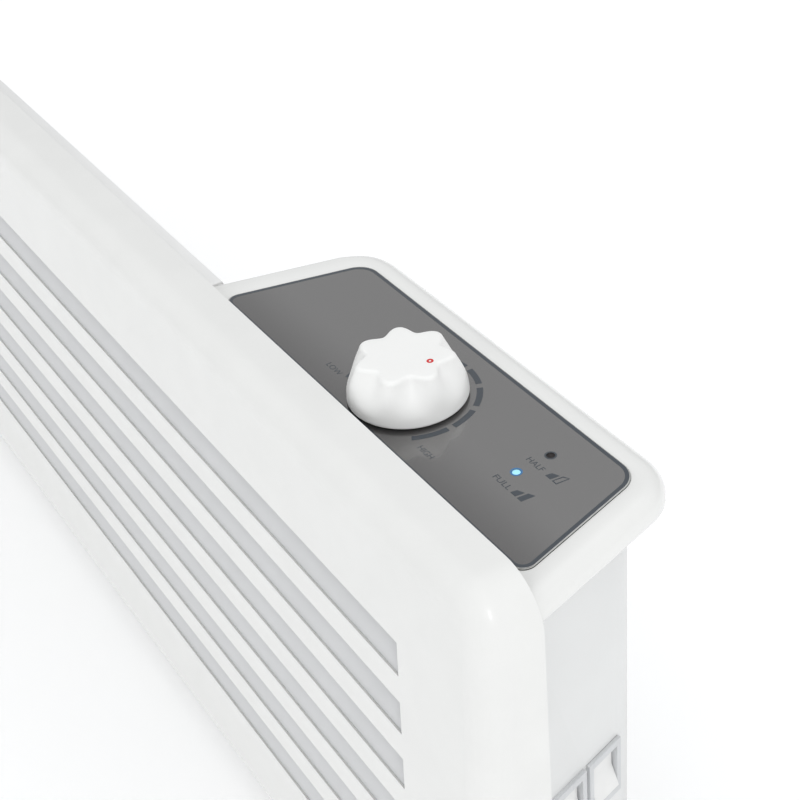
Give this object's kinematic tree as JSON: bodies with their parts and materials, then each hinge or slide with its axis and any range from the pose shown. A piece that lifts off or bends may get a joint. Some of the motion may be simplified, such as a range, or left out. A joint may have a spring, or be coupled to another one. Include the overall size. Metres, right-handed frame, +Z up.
{
  "type": "baseboard heater",
  "caption": "Low electric convector heater with a louvred white steel front, finned element behind it, and a top control box with lobed thermostat knob and power switches.",
  "frame": {"origin": "on the floor, under the middle of the heater's box", "axes": "+X to the right along the heater as seen from the room, towards the control box; -Y towards the room, +Y towards the wall; +Z up"},
  "size_m": [0.78, 0.1, 0.2502],
  "materials": {
    "steel_white": "fine satin powder coat",
    "blade_grey": "satin paint, light grey",
    "bracket_white": "satin paint",
    "galvanised": "zinc-coated sheet",
    "shield_aluminium": "bright reflector sheet",
    "element_aluminium": "extruded, mill finish",
    "element_rod_steel": "heat-tinted",
    "bush_ceramic": "unglazed",
    "phenolic_black": "moulded phenolic",
    "foot_white": "moulded, fine texture",
    "pad_rubber": "moulded pad",
    "housing_white": "moulded, satin",
    "bezel_white": "moulded, gloss",
    "label_grey": "printed under a clear gloss film",
    "knob_white": "moulded, gloss",
    "pointer_red": "moulded, gloss",
    "shaft_steel": "turned",
    "copper_bulb": "drawn tube",
    "guide_clear": "clear acrylic",
    "board_green": "printed board",
    "lamp_glass": "moulded lens",
    "switch_frame": "moulded",
    "switch_rocker": "moulded",
    "gland_grey": "moulded",
    "terminal_white": "moulded",
    "lead_red": "silicone insulation",
    "lead_green": "silicone insulation",
    "screw_steel": "zinc-plated"
  },
  "bodies": {
    "root": {"base_plate": "galvanised", "bay_plate": "steel_white", "bracket_screws": "screw_steel", "casing_end_left": "galvanised", "control_bezel": "bezel_white", "control_housing": "housing_white", "cord_gland": "gland_grey", "cutout_bracket": "galvanised", "earth_lead": "lead_green", "element_body": "element_aluminium", "element_bracket_left": "galvanised", "element_bracket_right": "galvanised", "element_bush_left": "bush_ceramic", "element_bush_right": "bush_ceramic", "element_lead": "lead_red", "element_rod": "element_rod_steel", "foot_left": "foot_white", "foot_pads": "pad_rubber", "foot_right": "foot_white", "foot_screws": "screw_steel", "front_panel": "steel_white", "full_light_guide": "guide_clear", "half_light_guide": "guide_clear", "heat_shield": "shield_aluminium", "housing_screws": "screw_steel", "indicator_board": "board_green", "indicator_holder": "phenolic_black", "indicator_lamps": "lamp_glass", "label_plate": "label_grey", "louvre_blade_1": "blade_grey", "louvre_blade_2": "blade_grey", "louvre_blade_3": "blade_grey", "louvre_blade_4": "blade_grey", "louvre_blade_5": "blade_grey", "louvre_blade_6": "blade_grey", "louvre_stay_left": "blade_grey", "louvre_stay_right": "blade_grey", "overheat_cutout": "phenolic_black", "partition_plate": "galvanised", "rear_casing": "steel_white", "rocker_frame_full": "switch_frame", "rocker_frame_half": "switch_frame", "sensor_clip": "foot_white", "terminal_block": "terminal_white", "thermostat_body": "phenolic_black", "thermostat_screws": "screw_steel", "thermostat_sensor": "copper_bulb", "wall_bracket_left": "bracket_white", "wall_bracket_right": "bracket_white"},
    "knob": {"control_knob": "knob_white", "knob_pointer": "pointer_red", "thermostat_shaft": "shaft_steel"},
    "half_rocker": {"rocker_half": "switch_rocker"},
    "full_rocker": {"rocker_full": "switch_rocker"}
  },
  "joints": [
    {"name": "knob_turn", "type": "hinge", "parent": "root", "child": "knob", "pos_m": [0.285, 0.0048, 0.234], "axis": [0, 0, 1], "range_deg": [-56.5, 183.5]},
    {"name": "half_rocker_tip", "type": "hinge", "parent": "root", "child": "half_rocker", "pos_m": [0.36863, 0.00015, 0.116], "axis": [-0.2607, 0.9654, 0], "range_deg": [0, 20]},
    {"name": "full_rocker_tip", "type": "hinge", "parent": "root", "child": "full_rocker", "pos_m": [0.36377, 0.01815, 0.116], "axis": [-0.2607, 0.9654, 0], "range_deg": [0, 20]}
  ]
}
